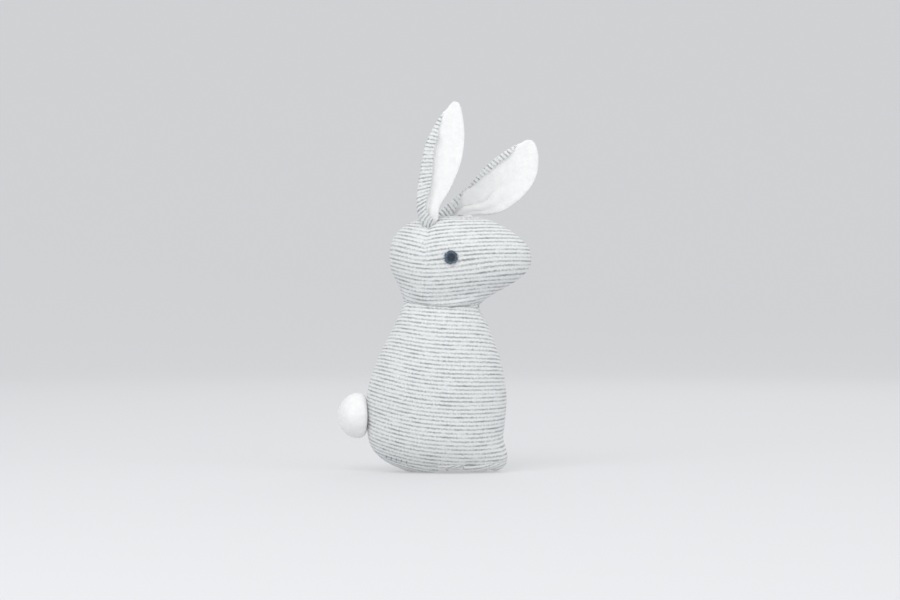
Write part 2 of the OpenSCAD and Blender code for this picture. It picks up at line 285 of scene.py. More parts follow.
def striped_jersey():
    """Single-knit cotton jersey, knitted in stripes of grey melange and off-white yarn.
    The eye reads soft-edged stripes, flecks of light fibre in the grey, and rows of tiny V loops.
    The knit map is in millimetres, so the scale of a pattern on it is a count to the millimetre."""
    material, add, shader, place = new_material("striped_cotton_jersey", 0.92, sheen=0.25, specular=0.15)
    knit = add("UVMap", uv_map="knit")
    parts = add("SeparateXYZ", (knit,))
    along, rise = parts.outputs["X"], parts.outputs["Y"]

    # Loops: each wale is a column of V shapes, so the rows bend down at each wale's edges.
    wales = add("Math", (along, WALE_MM), operation="DIVIDE")
    wale = add("Math", (wales, 0.5), operation="PINGPONG")
    bent = add("Math", (wale, 0.55 * COURSE_MM, rise), operation="MULTIPLY_ADD")
    courses = add("Math", (bent, COURSE_MM), operation="DIVIDE")
    course = add("Math", (courses, 0.5), operation="PINGPONG")
    turn = add("Math", (wale, 2 * math.pi), operation="MULTIPLY")
    leg = add("Math", (turn,), operation="SINE")
    fullness = add("Math", (course, 1.2, 0.4), operation="MULTIPLY_ADD")
    loop = add("Math", (leg, fullness), operation="MULTIPLY")

    # Each pattern of unevenness: how close it is along and across the stripes, and how rough
    uneven = {}
    for name, along_scale, across_scale, detail in (("drift", 0.55, 0.55, 3.0), ("ragged", 2.6, 2.6, 2.0),
                                                    ("tight", 0.85 / WALE_MM, 0.2, 1.5),
                                                    ("dye", 0.10, 0.42, 2.0)):
        spread = add("Mapping", {"Vector": knit, "Scale": (along_scale, across_scale, 1.0)})
        pattern = add("TexNoise", {"Vector": spread, "Scale": 1.0, "Detail": detail}, noise_dimensions="2D")
        uneven[name] = add("Math", (pattern, 0.5), operation="SUBTRACT")

    # Yarn drift: the stripe's edge wanders by part of a loop, in steps as long as a few loops.
    wander = add("Math", (uneven["drift"], 0.9, bent), operation="MULTIPLY_ADD")
    stripes = add("Math", (wander, STRIPE_MM), operation="DIVIDE")
    stripe = add("Math", (stripes, 0.5), operation="PINGPONG")
    edge = add("Math", (uneven["ragged"], 0.2, stripe), operation="MULTIPLY_ADD")
    # Some wales are knitted tighter than others, which breaks the stripes into dashes, column by column.
    edge = add("Math", (uneven["tight"], 0.12, edge), operation="MULTIPLY_ADD")
    grey = add("MapRange", {"Value": edge, "From Min": 0.19, "From Max": 0.41},
               interpolation_type="SMOOTHSTEP")

    # Melange: the grey yarn is spun from dark and light fibre, so it is flecked.
    stretch = add("Mapping", {"Vector": knit, "Scale": (0.9, 2.2, 1.0)})
    fleck = add("TexNoise", {"Vector": stretch, "Scale": 1.1, "Detail": 4.0, "Roughness": 0.7},
                noise_dimensions="2D")
    # Dye takes unevenly along the yarn, so a stripe is darker in places a centimetre long.
    depth = add("Math", (uneven["dye"], 0.6, fleck), operation="MULTIPLY_ADD")
    depth = add("Math", (uneven["tight"], -0.3, depth), operation="MULTIPLY_ADD")
    yarn = add("ValToRGB", (depth,),
               ramp=((0.30, "#8E9295"), (0.43, "#ADB0B2"), (0.54, "#C8CACB"), (0.68, "#E2E3E3")))
    white = add("ValToRGB", (fleck,), ramp=((0.30, "#D2D4D4"), (0.60, "#F1F2F1")))
    colour = add("Mix", {"Factor": grey, "A": white, "B": yarn}, data_type="RGBA")
    # Shade between loops
    deep = add("Math", (loop, 0.16, 0.88), operation="MULTIPLY_ADD")
    add("Mix", {"Factor": 1.0, "A": colour, "B": deep}, to=shader["Base Color"], data_type="RGBA",
        blend_type="MULTIPLY")

    # Relief: the loops, the slightly raised white rows, and fluffy fibres, 2.6 to the millimetre
    fluff = add("TexNoise", {"Vector": place, "Scale": 2.6 / MM, "Detail": 3.0})
    height = add("Math", (fluff, 0.35, loop), operation="MULTIPLY_ADD")
    height = add("Math", (grey, -0.25, height), operation="MULTIPLY_ADD")
    add("Bump", {"Height": height, "Strength": 0.55, "Distance": 0.12 * MM}, to=shader["Normal"])
    return material


def white_velour():
    """Cotton velour, a knit whose loops are sheared into a short upright pile.
    The eye reads a soft white nap that lies in patches and lights up at grazing angles.
    The nap lies in patches 4 mm wide. Tufts and fibres are drawn 0.7 and 0.4 mm apart, coarser than real
    pile, so that they show."""
    material, add, shader, place = new_material("white_cotton_velour", 0.95, sheen=0.6, specular=0.1,
                                                 sheen_roughness=0.4)
    patches = add("TexNoise", {"Vector": place, "Scale": 0.26 / MM, "Detail": 4.0, "Roughness": 0.6})
    pile = add("TexNoise", {"Vector": place, "Scale": 2.4 / MM, "Detail": 4.0, "Roughness": 0.75})
    tufts = add("TexVoronoi", {"Vector": place, "Scale": 1.5 / MM})
    lay = add("Math", (patches, 0.4), operation="MULTIPLY")
    nap = add("Math", (pile, 0.6, lay), operation="MULTIPLY_ADD")
    add("ValToRGB", (nap,), ramp=((0.30, "#E4E5E5"), (0.58, "#F4F4F3")), to=shader["Base Color"])
    height = add("Math", (tufts, -0.5, pile), operation="MULTIPLY_ADD")
    height = add("Math", (patches, 0.9, height), operation="MULTIPLY_ADD")
    add("Bump", {"Height": height, "Strength": 0.6, "Distance": 0.3 * MM}, to=shader["Normal"])
    return material


def embroidery_thread():
    """Trilobal polyester embroidery thread, two plies twisted together, with fibres drawn 0.3 mm apart.
    Its length is silky, so each stitch has its own soft highlight and the colour varies from stitch to
    stitch. The light end of the colour ramp is painted highlight, which the eye's lighter rings of stitches
    take."""
    material, add, shader, place = new_material("slate_embroidery_thread", 0.45, sheen=0.2, specular=0.45)
    thread_tone_and_highlight = add("Attribute", attribute_name="thread_tone_and_highlight", attribute_type="GEOMETRY").outputs["Fac"]
    fibre = add("TexNoise", {"Vector": place, "Scale": 3.5 / MM, "Detail": 2.0})
    uneven = add("Math", (fibre, 0.5), operation="SUBTRACT")
    mixed = add("Math", (uneven, 0.35, thread_tone_and_highlight), operation="MULTIPLY_ADD")
    add("ValToRGB", (mixed,), to=shader["Base Color"],
        ramp=((0.0, "#1B2935"), (0.3, "#2C3F4F"), (0.62, "#475D6F"), (1.0, "#71889A")))
    add("Bump", {"Height": fibre, "Strength": 0.4, "Distance": 0.05 * MM}, to=shader["Normal"])
    return material


def sewing_thread():
    """Spun polyester sewing thread, whose plies cross three times to the millimetre.
    The eye reads it as matt, faintly hairy, and mottled where its plies cross."""
    material, add, shader, place = new_material("grey_spun_polyester_thread", 0.8, sheen=0.2, specular=0.25)
    ply = add("TexNoise", {"Vector": place, "Scale": 3.0 / MM, "Detail": 2.0})
    add("ValToRGB", (ply,), ramp=((0.35, "#6F7377"), (0.65, "#A2A5A8")), to=shader["Base Color"])
    add("Bump", {"Height": ply, "Strength": 0.5, "Distance": 0.05 * MM}, to=shader["Normal"])
    return material


def fibrefill():
    """Crimped polyester stuffing fibre, in clumps 1.4 mm wide.
    The eye reads a white, cloudy mass with fine strands."""
    material, add, shader, place = new_material("white_polyester_fibrefill", 0.95, sheen=0.3, specular=0.1)
    strands = add("TexNoise", {"Vector": place, "Scale": 0.7 / MM, "Detail": 6.0, "Roughness": 0.8,
                               "Distortion": 1.5})
    add("ValToRGB", (strands,), ramp=((0.3, "#D9DADA"), (0.7, "#F6F6F5")), to=shader["Base Color"])
    add("Bump", {"Height": strands, "Strength": 0.8, "Distance": MM}, to=shader["Normal"])
    return material


def backlit_acrylic():
    """Matt opal acrylic, lit from behind. The eye reads an even, pale ground with a very fine grain."""
    material, add, shader, place = new_material("backlit_matt_acrylic", 0.9, specular=0.1)
    shader["Emission Color"].default_value = linear("#F4F5F6")
    shader["Emission Strength"].default_value = 0.38
    grain = add("TexNoise", {"Vector": place, "Scale": 0.9 / MM, "Detail": 3.0})
    add("ValToRGB", (grain,), ramp=((0.0, "#A6A7A9"), (1.0, "#ADAEB0")), to=shader["Base Color"])
    return material


JERSEY = striped_jersey()
VELOUR = white_velour()
EYE_THREAD = embroidery_thread()
THREAD = sewing_thread()
FILL = fibrefill()


# ---- Cloth simulation: the stuffing pushes the jersey out between its seams ----

def inflate(bm, grid, name, firmness, cut, cap, frames=20):
    """Puffs a skin out with Blender's Cloth. firmness gives how hard the sewing holds the vertex of a row and
    column, cut moves each point to where the flat cut has it, so that extra cloth buckles into gathers, and
    no point moves further than cap."""
    start = [v.co.copy() for v in bm.verts]
    mesh = bpy.data.meshes.new(name + "_cut")
    bm.to_mesh(mesh)
    obj = bpy.data.objects.new(name + "_cut", mesh)
    bpy.context.scene.collection.objects.link(obj)
    group = obj.vertex_groups.new(name="sewn")
    index = {v: k for k, v in enumerate(bm.verts)}
    for i, line in enumerate(grid):
        for j, v in enumerate(line):
            if firmness(i, j) > 0:
                group.add([index[v]], firmness(i, j), "REPLACE")
    obj.shape_key_add(name="Basis")
    cut_key = obj.shape_key_add(name="cut")
    for point, co in zip(cut_key.data, start):
        point.co = cut(co)
    cut_key.value = 0.0
    mod = obj.modifiers.new("Cloth", "CLOTH")
    # Cotton knit folds easily and hardly stretches.
    cloth = mod.settings
    cloth.quality = 6
    cloth.mass = 0.15
    cloth.tension_stiffness = cloth.compression_stiffness = 20
    cloth.shear_stiffness = 8
    cloth.bending_stiffness = 0.4
    cloth.use_pressure = True
    cloth.uniform_pressure_force = 3.0
    cloth.vertex_group_mass = "sewn"
    cloth.pin_stiffness = 1.0
    cloth.rest_shape_key = cut_key
    cloth.effector_weights.gravity = 0.0
    mod.collision_settings.use_collision = False
    mod.point_cache.frame_start, mod.point_cache.frame_end = 1, frames
    scene = bpy.context.scene
    for f in range(1, frames + 1):
        scene.frame_set(f)
    settled = obj.evaluated_get(bpy.context.evaluated_depsgraph_get()).to_mesh()
    for v, co, end in zip(bm.verts, start, settled.vertices):
        step = end.co - co
        if step.length > cap:
            step *= cap / step.length
        v.co = co + step
    bpy.data.objects.remove(obj)
    bpy.data.meshes.remove(mesh)
    scene.frame_set(1)


# ---- The skins ----

def wall_point(tree, centre, direction):
    """Where the outer face of the CAD skin lies from the centre along a direction, if it does."""
    out = Vector(direction).normalized()
    nudge = Vector((0, 0.1 * MM, 0))       # keeps the ray off the edges where the two panels meet
    far = 0.2
    hit = tree.ray_cast(centre + out * far + nudge, -out, far)[0]
    return hit - nudge if hit else None


COLUMNS = 144
BACK = COLUMNS // 2        # column 0 runs up the front seam, and this one up the back


def column_direction(j, half_x, half_y):
    """Where column j points, on an oval about the middle."""
    turn = 2 * math.pi * j / COLUMNS
    return Vector((half_x * math.cos(turn), half_y * math.sin(turn), 0))


def neck_ring(j):
    """The pinched neck seam, which dips in the middle of each side."""
    turn = 2 * math.pi * j / COLUMNS
    half_x, half_y = 23.2 * MM, 14.6 * MM
    deepest, depth, curvature = 6 * MM, 2.7 * MM, 0.0045 / MM
    x = NECK.x + half_x * math.cos(turn)
    dip = depth - curvature * (x - deepest) ** 2
    # Hand stitches gather the cloth unevenly.
    gather = 0.25 * MM * math.sin(9 * turn) + 0.18 * MM * math.sin(14 * turn + 1)
    return Vector((x + gather * math.cos(turn), (half_y + gather) * math.sin(turn), NECK.z - dip))


def seam_height(node):
    """Height of a thread loop for each column, read from its CAD node."""
    half_x, half_y, window = 43, 25, 0.12
    samples = [(math.atan2(v.co.y / half_y, v.co.x / half_x), v.co.z)
               for v in frame["nodes"][node].data.vertices]
    turns, heights = np.array(samples).T
    columns = np.arange(COLUMNS) * 2 * math.pi / COLUMNS
    columns = np.where(columns > math.pi, columns - 2 * math.pi, columns)
    return [float(heights[np.abs((turns - c + math.pi) % (2 * math.pi) - math.pi) < window].mean())
            for c in columns]


FLOOR_ROWS, RIM_ROWS, SIDE_ROWS = 7, 5, 66
SEAM_ROW = FLOOR_ROWS + RIM_ROWS
TORSO_ROWS = SEAM_ROW + SIDE_ROWS

# How high the underside stands off the floor, along the toy: a tuck where the gusset's end is gathered in
TUCK = [(-10, 0), (-4, 0.1), (1, 1.9), (4.2, 2.5), (6.6, 2.2), (8.9, 3.4), (11.8, 3.0), (15, 2.3),
        (18.7, 1.3), (27, 0.3), (30.5, 1.4), (33, 1.4), (35.5, 0.4), (40, 0.3)]


def torso_shape():
    """The torso's skin: the floor and rim of the gusset, then the side panels up to the neck seam."""
    bm, grid = tube(COLUMNS, TORSO_ROWS)
    below_thread, rim_foot, spine_share = 0.8 * MM, 0.9 * MM, 0.62
    seam = seam_height("base_seam_thread")
    middle = Vector((torso_mid_x, 0, 0))
    for j in range(COLUMNS):
        out = column_direction(j, torso_length / 2, 0.025)
        seam_z = seam[j] - below_thread
        ring = neck_ring(j)
        for i in range(FLOOR_ROWS, TORSO_ROWS + 1):
            if i <= SEAM_ROW:
                share = (i - FLOOR_ROWS) / RIM_ROWS
                z = rim_foot + (seam_z - rim_foot) * share
                z = max(z, curve_through(TUCK, (out.x + middle.x) / MM) * MM + share * MM)
                z = min(z, seam_z - 0.1 * MM * (SEAM_ROW - i))
            else:
                share = (i - SEAM_ROW) / SIDE_ROWS
                z = seam_z + (ring.z - seam_z) * share
            point, lower = None, min(z, torso_hi.z - 0.3 * MM)
            while point is None:
                point = wall_point(torso_skin, middle + Vector((0, 0, lower)), out)
                lower -= 0.4 * MM
            point.z = z
            # The last rows draw in to the gathered seam.
            if i > SEAM_ROW:
                pull = smoothstep(7.5 * MM, 0, ring.z - z)
                point = point.lerp(Vector((ring.x, ring.y, z)), pull)
            grid[i][j].co = point
        edge = grid[FLOOR_ROWS][j].co.copy()
        spine = Vector((middle.x + spine_share * (edge.x - middle.x), 0, 0))
        for i in range(FLOOR_ROWS):
            at = edge.lerp(spine, 1 - i / FLOOR_ROWS)
            up = torso_skin.ray_cast(Vector((at.x, at.y + 0.00002, -0.05)), Vector((0, 0, 1)))[0]
            at.z = up.z if up else edge.z * 0.5
            at.z = max(at.z, curve_through(TUCK, at.x / MM) * MM)
            grid[i][j].co = at
    return bm, grid


HEAD_ROWS, LOW_ROWS = 78, 22    # the low rows bridge from the neck seam to the head's skin
HEM_STEP = 0.02                 # radians, about half a millimetre on the head


def head_shape():
    """The head's skin, from the neck seam up to the crown, on meridians about the middle of the head."""
    bm, grid = tube(COLUMNS, HEAD_ROWS)
    half = Vector(((head_hi.x - head_lo.x) / 2, 22 * MM, 28 * MM))
    nearly_upright = math.pi / 2 - 0.002
    for j in range(COLUMNS):
        flat = column_direction(j, half.x, half.y)
        ring = neck_ring(j)
        end_share = abs(math.cos(2 * math.pi * j / COLUMNS))

        def meridian(angle):
            out = flat * math.cos(angle) + Vector((0, 0, half.z * math.sin(angle)))
            return wall_point(head_skin, head_centre, out)

        # The skin is followed down to a little above its hem.
        low = 0.0
        while meridian(low - HEM_STEP):
            low -= HEM_STEP
        low += 3 * HEM_STEP
        foot, above = meridian(low), meridian(low + 6 * HEM_STEP)
        # A smooth bridge leaves the neck seam outwards, more steeply at the throat and the nape, and joins
        # the skin in the skin's own direction.
        down = (foot - above).normalized()
        radial = Vector((flat.x, flat.y, 0)).normalized()
        steep = end_share ** 2 if flat.x > 0 else 1.4 * end_share ** 2
        leave = (radial * (0.95 - 0.25 * steep) + Vector((0, 0, 0.25 + 0.5 * steep))).normalized()
        reach = (foot - ring).length * (0.9 - 0.35 * steep)
        for i in range(HEAD_ROWS + 1):
            if i <= LOW_ROWS:
                a, b, c, d = hermite(i / LOW_ROWS)
                point = ring * a + leave * reach * b + foot * c - down * reach * d
            else:
                angle = low + (nearly_upright - low) * (i - LOW_ROWS) / (HEAD_ROWS - LOW_ROWS)
                point = meridian(angle) or point
            grid[i][j].co = point
    return bm, grid


def laid_flat(tree, middle, co, steps=8):
    """Where a point of a side panel lies once the panel is laid flat, in millimetres from the middle of the
    side. Its direction from the middle stays, and its distance is the way over the bulge."""
    side = -1 if co.y < 0 else 1
    inwards, outside = Vector((0, -side, 0)), Vector((0, 0.1 * side, 0))
    flat = Vector((co.x - middle.x, 0, co.z - middle.z))
    way, last = 0.0, None
    for k in range(steps):
        hit = tree.ray_cast(middle + flat * (k / steps) + outside, inwards)[0]
        if hit:
            way += (hit - last).length if last else 0.0
            last = hit
    way += (co - last).length
    # The knit stretches where it bulges, which takes up half of the extra way.
    return flat.normalized() * ((way + flat.length) / 2 / MM)


def knit_coordinates(bm, grid, middle, offset):
    """Where each vertex lies in the flat cloth, in millimetres: along the stripes, and up across them.
    offset bends the stripes."""
    tree = BVHTree.FromBMesh(bm)
    knit = {}
    for i, line in enumerate(grid):
        for j, v in enumerate(line):
            flat = laid_flat(tree, middle, v.co)
            knit[i, j] = (flat.x, flat.z + offset(v.co))
    return knit


def cut_panel(bm, wanted, lay):
    """A copy of part of a skin as its own piece. wanted picks its faces by row and column, and lay gives each
    vertex its place in the flat cloth."""
    part = bm.copy()
    row, column = part.verts.layers.int["row"], part.verts.layers.int["column"]
    knit = part.loops.layers.uv.new("knit")
    others = []
    for face in part.faces:
        # Column 0 comes after the last one, so a face between them counts to the last one.
        across = [v[column] for v in face.verts]
        first = min(across) if max(across) - min(across) <= 1 else max(across)
        if wanted(min(v[row] for v in face.verts), first):
            for loop in face.loops:
                loop[knit].uv = lay(loop.vert, loop.vert[row], loop.vert[column])
        else:
            others.append(face)
    bmesh.ops.delete(part, geom=others, context="FACES")
    bmesh.ops.remove_doubles(part, verts=part.verts, dist=0.02 * MM)
    return part


def panel_piece(part, node):
    """A padded panel of jersey with its thickness, in place of a CAD panel."""
    obj = finish_mesh(part, "jersey_" + node, JERSEY)
    refine(obj, thickness=JERSEY_MM * MM)
    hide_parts(node)
    return obj


# How far the torso's stripes sag, along the toy, in millimetres
TORSO_SAG = [(-50, 0.6), (-45, 1.8), (-39, 3.3), (-29, 5.8), (-19, 8.2), (-9, 10), (1, 11.1), (10, 11.7),
             (20, 12), (30, 12), (40, 11.8), (50, 11.5)]


def torso_stripes(co):
    """The jersey is cut a little off the straight, and sags towards the belly."""
    return curve_through(TORSO_SAG, co.x / MM) + 0.8 * noise.noise(co * 22)


DART_TOP = Vector((-0.0060, 0, 0.150))
DART_FOOT = Vector((-0.0093, 0, 0.1335))


def dart_distance(co):
    """Signed distance in front of the dart, and how far along it the point lies, from 0 at its foot."""
    line = DART_TOP - DART_FOOT
    rel = Vector((co.x, 0, co.z)) - DART_FOOT
    share = rel.dot(line) / line.length_squared
    side = (rel.x * line.z - rel.z * line.x) / line.length
    return side, share


# How far the head's stripes sag, along the toy, in millimetres
HEAD_SAG = [(-45, -2), (-35, 1), (-27, 3.3), (-19, 5.3), (-14, 6.3), (-9, 6.9), (-4, 7), (1, 6.8), (10, 6.1),
            (20, 5.3), (30, 4.7), (40, 4.4), (55, 4.4), (70, 4.4)]


def head_stripes(co):
    """The dart takes out a wedge of cloth, so stripes run down to it from both sides."""
    side, share = dart_distance(co)
    ahead, behind = max(0.0, side / MM), max(0.0, -side / MM)
    sharp = 2.0 * (1 - math.exp(-ahead / 7)) + 1.5 * (1 - math.exp(-behind / 6))
    return (curve_through(HEAD_SAG, co.x / MM) - sharp * smoothstep(-0.3, 0.4, share)
            + 0.5 * noise.noise(co * 22 + Vector((3, 0, 0))))


def move_along_normals(bm, depth):
    """Moves each vertex outwards by depth(co) metres."""
    bm.normal_update()
    shift = [(v, v.normal.copy() * depth(v.co)) for v in bm.verts]
    for v, step in shift:
        v.co += step


def gathers(turn, height, decay):
    """Folds that run up and down from a drawn-in seam, uneven like hand gathers."""
    wave = 0.0
    for k, (count, phase) in enumerate(((11, 0.3), (17, 1.9), (23, 4.1), (31, 2.2))):
        wave += math.sin(count * turn + phase + 2 * noise.noise(Vector((turn * 2, k, 0)))) / (1 + 0.4 * k)
    return wave * math.exp(-height / decay)


def side_panels(bm, knit, body, first_row=0):
    """The two side panels of a skin, from its first row up."""
    pieces = []
    for side, is_left in (("right", False), ("left", True)):
        part = cut_panel(bm, lambda i, j: i >= first_row and (j < BACK) == is_left,
                         lambda v, i, j: knit[i, j])
        pieces.append(panel_piece(part, f"{body}_panel_{side}"))
    return pieces


def inner_seams(grid, rows, body):
    """The thread of the two long seams, just inside the jersey."""
    inside = 1.4 * MM
    paths = [[grid[i][j].co - grid[i][j].normal * inside for i in rows] for j in (0, BACK)]
    return thread_piece(f"{body}_long_seams", paths, 0.15 * MM, None, f"{body}_seam_thread")


def seam_groove(co):
    """How far the cloth is pulled in at the long seam."""
    return bump(co.y, 0, 0.9 * MM)


def make_torso():
    """The torso's two side panels and its gusset. Gives back the right panel."""
    bm, grid = torso_shape()
    soften(bm, kept=grid[TORSO_ROWS] + [v for line in grid[:FLOOR_ROWS] for v in line])
    face_outwards(bm, Vector((torso_mid_x, 0, 0.05)))
    roughen(bm, Vector(), Vector())

    def firmness(i, j):
        if i >= TORSO_ROWS - 1 or i <= FLOOR_ROWS:
            return 1.0
        return 0.9 if i == SEAM_ROW or j in (0, BACK) else 0.0

    def cut(co):
        """The panels are cut wider at the neck than the seam they are gathered into."""
        spread = 1 + 0.10 * smoothstep(0.078, 0.104, co.z) + 0.012
        return Vector((NECK.x + (co.x - NECK.x) * spread, co.y * spread, co.z * 1.012))

    inflate(bm, grid, "torso", firmness, cut, cap=2.4 * MM)

    def relief(co):
        turn = math.atan2(co.y / 0.6, co.x - NECK.x)
        below = NECK.z - co.z
        depth = 0.35 * MM * gathers(turn, max(0, below), 9 * MM) if below > 1.2 * MM else 0.0
        depth -= 0.7 * MM * seam_groove(co) * smoothstep(0.004, 0.012, co.z)
        # The cloth bulges over the foot and draws in above it, and stuffing leaves soft hollows.
        front = smoothstep(0.030, 0.040, co.x)
        depth += front * MM * (0.9 * bump(co.z, 9 * MM, 6 * MM) - 0.7 * bump(co.z, 21 * MM, 5 * MM))
        depth += 0.45 * MM * noise.noise(co * 55)
        return depth

    move_along_normals(bm, relief)
    for v in grid[SEAM_ROW]:
        v.co += Vector((torso_mid_x - v.co.x, -v.co.y, 0)).normalized() * 0.35 * MM
    for v in bm.verts:
        v.co.z = max(v.co.z, 0.1 * MM)
    knit = knit_coordinates(bm, grid, Vector((0, 0, 0.05)), torso_stripes)
    pieces = side_panels(bm, knit, "torso", first_row=SEAM_ROW)
    # On the gusset the stripes run lengthwise, and the knit is stretched round the rim.
    rise = {}
    for j in range(COLUMNS):
        rise[0, j] = 0.0
        for i in range(1, SEAM_ROW + 1):
            step = grid[i][j].co - grid[i - 1][j].co
            stretch = 0.3 if i > FLOOR_ROWS else 1.0
            rise[i, j] = rise[i - 1, j] + math.hypot(stretch * step.y, step.z) / MM
    part = cut_panel(bm, lambda i, j: i < SEAM_ROW, lambda v, i, j: (v.co.x / MM, rise[i, j]))
    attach(panel_piece(part, "base_gusset"), "torso")
    thread = inner_seams(grid, range(SEAM_ROW + 2, TORSO_ROWS - 3), "torso")
    bm.free()
    for obj in pieces + [thread]:
        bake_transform(obj)
    return pieces[0]


def make_head():
    """The head's two side panels."""
    bm, grid = head_shape()
    soften(bm, kept=grid[0])
    # One column of vertices follows each dart, so that the stripes break sharply there.
    for line in grid[:HEAD_ROWS - 1]:
        for half in (line[1:BACK], line[BACK + 1:]):
            nearest = min(half, key=lambda v: abs(dart_distance(v.co)[0]))
            side, share = dart_distance(nearest.co)
            if -0.2 < share < 1.3 and abs(side) < 2 * MM:
                nearest.co.x -= side
    face_outwards(bm, head_centre)
    roughen(bm, head_centre, Vector((9, 0, 0)))
    crown = grid[HEAD_ROWS]
    top = sum((v.co for v in crown), Vector()) / len(crown)
    for v in crown:
        v.co = top

    def firmness(i, j):
        if i <= 1:
            return 1.0
        if i >= HEAD_ROWS - 1:
            return 0.8
        return 0.85 if j in (0, BACK) else 0.0

    def cut(co):
        """The panels are cut wider at the neck here too."""
        spread = 1.012 + 0.12 * smoothstep(0.122, 0.104, co.z)
        return Vector((NECK.x + (co.x - NECK.x) * spread, co.y * spread, NECK.z + (co.z - NECK.z) * 1.015))

    inflate(bm, grid, "head", firmness, cut, cap=1.6 * MM)

    def relief(co):
        turn = math.atan2(co.y / 0.6, co.x - NECK.x)
        above = co.z - NECK.z
        depth = 0.3 * MM * gathers(turn + 0.4, max(0, above), 7 * MM) if above > 1.0 * MM else 0.0
        on_seam = smoothstep(0.3, 1.0, abs(co.x - head_centre.x) / 0.02)
        depth -= 0.65 * MM * seam_groove(co) * max(on_seam, smoothstep(0.15, 0.156, co.z))
        if abs(co.y) > 6 * MM:
            side, share = dart_distance(co)
            along = smoothstep(-0.1, 0.35, share) * smoothstep(1.25, 1.05, share)
            depth -= 1.3 * MM * bump(side, 0, 1.0 * MM) * along
            depth += 0.35 * MM * bump(side, 3.5 * MM, 3 * MM) * along
        depth += 0.4 * MM * noise.noise(co * 60 + Vector((5, 0, 0)))
        return depth

    move_along_normals(bm, relief)
    pieces = side_panels(bm, knit_coordinates(bm, grid, head_centre, head_stripes), "head")
    thread = inner_seams(grid, range(4, HEAD_ROWS - 4), "head")
    bm.free()
    for obj in pieces + [thread]:
        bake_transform(obj)


# ---- Ears: leaf-shaped sheets, cupped and folded ----

EAR_ROOT = -5.0            # where the ear's cloth starts, inside the dart, in millimetres from its hinge
CUP_STEPS, BEND_STEPS, FLAP_STEPS = 40, 12, 10    # across the cup, round the fold, along the turned-over edge


def ear_frame(name, lean_deg):
    """The ear's base, the direction it grows in, the direction across it, and its facing direction."""
    base = Vector(joint(name)["pos_m"])
    lean = math.radians(lean_deg)
    up = Vector((math.cos(lean), 0, math.sin(lean)))
    across = Vector((math.sin(lean), 0, -math.cos(lean)))
    return base, up, across, Vector((0, -1, 0))


class EarShape:
    """A leaf of cloth, bent without stretching. Each table gives a measure for places along the ear from its
    base, in millimetres: where the back fold, the front rim and the free edge of the turned-over cloth lie
    across the ear, the turn of the cup in degrees, how far the ear arches out, and the slant in degrees of
    the stripes on the turned-over cloth."""

    def __init__(self, fold, rim, edge, cup, arch, slant):
        self.fold, self.rim, self.edge = fold, rim, edge
        self.cup, self.arch, self.slant = cup, arch, slant
        self.length = rim[-1][0]
        self.known = {}

    def section(self, along):
        """A cross-section from the front rim, across the cup, round the fold and along the turned-over edge,
        and the length of each stretch up to its points."""
        key = round(along, 2)
        if key in self.known:
            return self.known[key]
        fold, rim, edge = (curve_through(t, along) for t in (self.fold, self.rim, self.edge))
        fold += 0.8
        turned = max(0.0, edge - fold)
        radius = min(1.5, 0.3 * turned + 0.2)
        inner = min(fold + radius, rim - 0.1)
        half, middle = (rim - inner) / 2, (rim + inner) / 2
        sag = half * math.tan(math.radians(curve_through(self.cup, along)) / 4)
        points = []
        for k in range(CUP_STEPS + 1):
            x = rim + (inner - rim) * k / CUP_STEPS
            points.append(Vector((x, -sag * (1 - ((x - middle) / half) ** 2))))
        sweep = math.radians(186) * smoothstep(0.0, 1.8, turned)
        for k in range(1, BEND_STEPS + 1):
            a = -math.pi / 2 - sweep * k / BEND_STEPS
            points.append(Vector((inner + radius * math.cos(a), radius + radius * math.sin(a))))
        way = Vector((math.sin(a), -math.cos(a)))
        reach = max(0.05, turned - radius)
        for _ in range(FLAP_STEPS):
            points.append(points[-1] + way * reach / FLAP_STEPS)
        lengths = [0.0]
        for one, two in zip(points, points[1:]):
            lengths.append(lengths[-1] + (two - one).length)
        self.known[key] = points, lengths
        return points, lengths

    def width(self, along):
        """The flat width of the cloth."""
        return self.section(along)[1][-1]

    def past_fold(self, share, along):
        """How far a point lies past the middle of the fold."""
        lengths = self.section(along)[1]
        return max(0.0, share * lengths[-1] - lengths[CUP_STEPS + BEND_STEPS // 2])

    def point(self, share, along):
        """A point (across, out, along) at a share of the flat width from the front rim."""
        points, lengths = self.section(along)
        at = min(max(share, 0.0), 1.0) * lengths[-1]
        k = min(bisect.bisect_right(lengths, at) - 1, len(points) - 2)
        flat = points[k].lerp(points[k + 1], (at - lengths[k]) / (lengths[k + 1] - lengths[k]))
        return Vector((flat.x, flat.y + curve_through(self.arch, along), along))


RIGHT_EAR = EarShape(
    fold=[(-5, -1.4), (-2, -4.4), (1.7, -6.9), (7, -9), (12.5, -10.3), (21.8, -11.5), (34.5, -12.2),
          (45.4, -12.4), (52.8, -11), (61.2, -8.6), (69.5, -5.6), (72.8, -4), (74.2, -2.8), (74.9, -1.4)],
    rim=[(-5, 1.2), (-2, 2.8), (1, 4.6), (2.3, 5.2), (5.6, 4.6), (10.1, 4.6), (15, 6.1), (20.6, 8),
         (31.4, 10.3), (40.6, 11.2), (52.5, 10.2), (61.6, 7.9), (71.2, 4.2), (73.4, 2.7), (74.5, 1.4),
         (74.9, 0.2)],
    edge=[(-5, 1), (-2, 2.2), (1.1, 2.9), (4.8, -2.1), (8.2, -4), (13.9, -4.2), (19.3, -3.5), (29.2, -4.6),
          (37.9, -5.9), (46, -6.8), (50.1, -6), (56.2, -6.9), (62, -6.1), (68.3, -4.8), (72, -3.7),
          (74.9, -1.4)],
    cup=[(-5, 70), (7, 60), (35, 40), (60, 30), (75, 15)],
    arch=[(-5, -5.0), (0, -2.4), (5, -0.4), (12, 0.4), (30, 0.6), (50, 0.1), (75, -1.4)],
    slant=[(-5, 52), (0, 50), (8, 44), (18, 30), (30, 18), (42, 10), (55, 0), (75, 0)])

